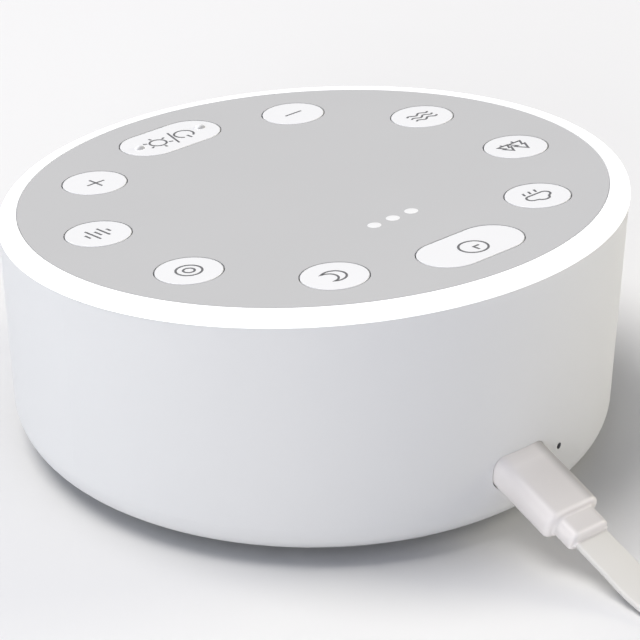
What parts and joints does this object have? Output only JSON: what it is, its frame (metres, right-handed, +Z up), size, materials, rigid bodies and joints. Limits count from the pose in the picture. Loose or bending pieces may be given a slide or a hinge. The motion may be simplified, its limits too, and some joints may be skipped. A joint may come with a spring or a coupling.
{
  "type": "white noise sound machine",
  "caption": "Round tabletop white noise sound machine with a sloping keypad, a glowing rim, a down-firing speaker and a flat USB lead coiled behind it.",
  "frame": {"origin": "centre of the footprint, at the table surface under the feet", "axes": "+Z up, -Y towards the user (the low side of the sloping top), +Y out of the back where the lead leaves"},
  "size_m": [0.1488, 0.2263, 0.051],
  "materials": {
    "shell_white": "fine matte",
    "base_white": "fine matte",
    "foot_rubber": "matte",
    "steel": "satin",
    "panel_grey": "fine matte",
    "ring_diffuser": "milky, lit from inside",
    "inner_white": "matte",
    "board_green": "solder mask",
    "led_white": "lens",
    "part_black": "moulded",
    "capacitor_can": "satin",
    "mesh_black": "woven",
    "foam_black": "foam",
    "basket_grey": "satin",
    "surround_rubber": "satin",
    "cone_paper": "pressed paper",
    "coil_copper": "wound wire",
    "spider_cloth": "impregnated cloth",
    "magnet_dark": "ferrite",
    "wire_red": "sleeve",
    "plated_steel": "nickel plate",
    "plug_white": "satin",
    "cord_white": "smooth sleeve",
    "tie_grey": "hook and loop",
    "key_white": "fine matte"
  },
  "bodies": {
    "base": {"housing": "shell_white", "base_plate": "base_white", "feet": "foot_rubber", "base_screws": "steel", "top_panel": "panel_grey", "panel_screws": "steel", "light_ring": "ring_diffuser", "light_shield": "inner_white", "main_board": "board_green", "board_screws": "steel", "ring_leds": "led_white", "key_switches": "part_black", "board_chips": "part_black", "capacitors": "capacitor_can", "board_connectors": "inner_white", "grille_mesh": "mesh_black", "speaker_gasket": "foam_black", "speaker_frame": "basket_grey", "speaker_screws": "steel", "speaker_surround": "surround_rubber", "speaker_spider": "spider_cloth", "speaker_top_plate": "steel", "speaker_magnet": "magnet_dark", "speaker_yoke": "steel", "speaker_leads": "wire_red", "usb_board": "board_green", "usb_socket": "plated_steel", "reset_switch": "part_black", "power_leads": "wire_red", "usb_c_plug": "plug_white", "usb_c_shell": "plated_steel", "cord_lead": "cord_white", "cord_coil": "cord_white", "cord_tie": "tie_grey", "cord_tail": "cord_white", "usb_a_plug": "plug_white", "usb_a_shell": "plated_steel"},
    "timer_key": {"key_timer": "key_white", "plunger_timer": "part_black"},
    "relax_key": {"key_relax": "key_white", "plunger_relax": "part_black"},
    "calm_key": {"key_calm": "key_white", "plunger_calm": "part_black"},
    "white_key": {"key_white": "key_white", "plunger_white": "part_black"},
    "plus_key": {"key_plus": "key_white", "plunger_plus": "part_black"},
    "power_key": {"key_power": "key_white", "plunger_power": "part_black"},
    "minus_key": {"key_minus": "key_white", "plunger_minus": "part_black"},
    "ocean_key": {"key_ocean": "key_white", "plunger_ocean": "part_black"},
    "forest_key": {"key_forest": "key_white", "plunger_forest": "part_black"},
    "rain_key": {"key_rain": "key_white", "plunger_rain": "part_black"},
    "cone": {"speaker_cone": "cone_paper", "dust_cap": "cone_paper", "voice_coil": "coil_copper"}
  },
  "joints": [
    {"name": "timer_press", "type": "slide", "parent": "base", "child": "timer_key", "axis": [0, 0.0847, -0.9964], "range_m": [0, 0.0006], "stiffness_N_per_m": 1300},
    {"name": "relax_press", "type": "slide", "parent": "base", "child": "relax_key", "axis": [0, 0.0847, -0.9964], "range_m": [0, 0.0006], "stiffness_N_per_m": 1300},
    {"name": "calm_press", "type": "slide", "parent": "base", "child": "calm_key", "axis": [0, 0.0847, -0.9964], "range_m": [0, 0.0006], "stiffness_N_per_m": 1300},
    {"name": "white_press", "type": "slide", "parent": "base", "child": "white_key", "axis": [0, 0.0847, -0.9964], "range_m": [0, 0.0006], "stiffness_N_per_m": 1300},
    {"name": "plus_press", "type": "slide", "parent": "base", "child": "plus_key", "axis": [0, 0.0847, -0.9964], "range_m": [0, 0.0006], "stiffness_N_per_m": 1300},
    {"name": "power_press", "type": "slide", "parent": "base", "child": "power_key", "axis": [0, 0.0847, -0.9964], "range_m": [0, 0.0006], "stiffness_N_per_m": 1300},
    {"name": "minus_press", "type": "slide", "parent": "base", "child": "minus_key", "axis": [0, 0.0847, -0.9964], "range_m": [0, 0.0006], "stiffness_N_per_m": 1300},
    {"name": "ocean_press", "type": "slide", "parent": "base", "child": "ocean_key", "axis": [0, 0.0847, -0.9964], "range_m": [0, 0.0006], "stiffness_N_per_m": 1300},
    {"name": "forest_press", "type": "slide", "parent": "base", "child": "forest_key", "axis": [0, 0.0847, -0.9964], "range_m": [0, 0.0006], "stiffness_N_per_m": 1300},
    {"name": "rain_press", "type": "slide", "parent": "base", "child": "rain_key", "axis": [0, 0.0847, -0.9964], "range_m": [0, 0.0006], "stiffness_N_per_m": 1300},
    {"name": "cone_stroke", "type": "slide", "parent": "base", "child": "cone", "axis": [0, 0, -1], "range_m": [-0.0008, 0.0008], "stiffness_N_per_m": 1200, "deforming": ["speaker_surround", "speaker_spider"]}
  ]
}
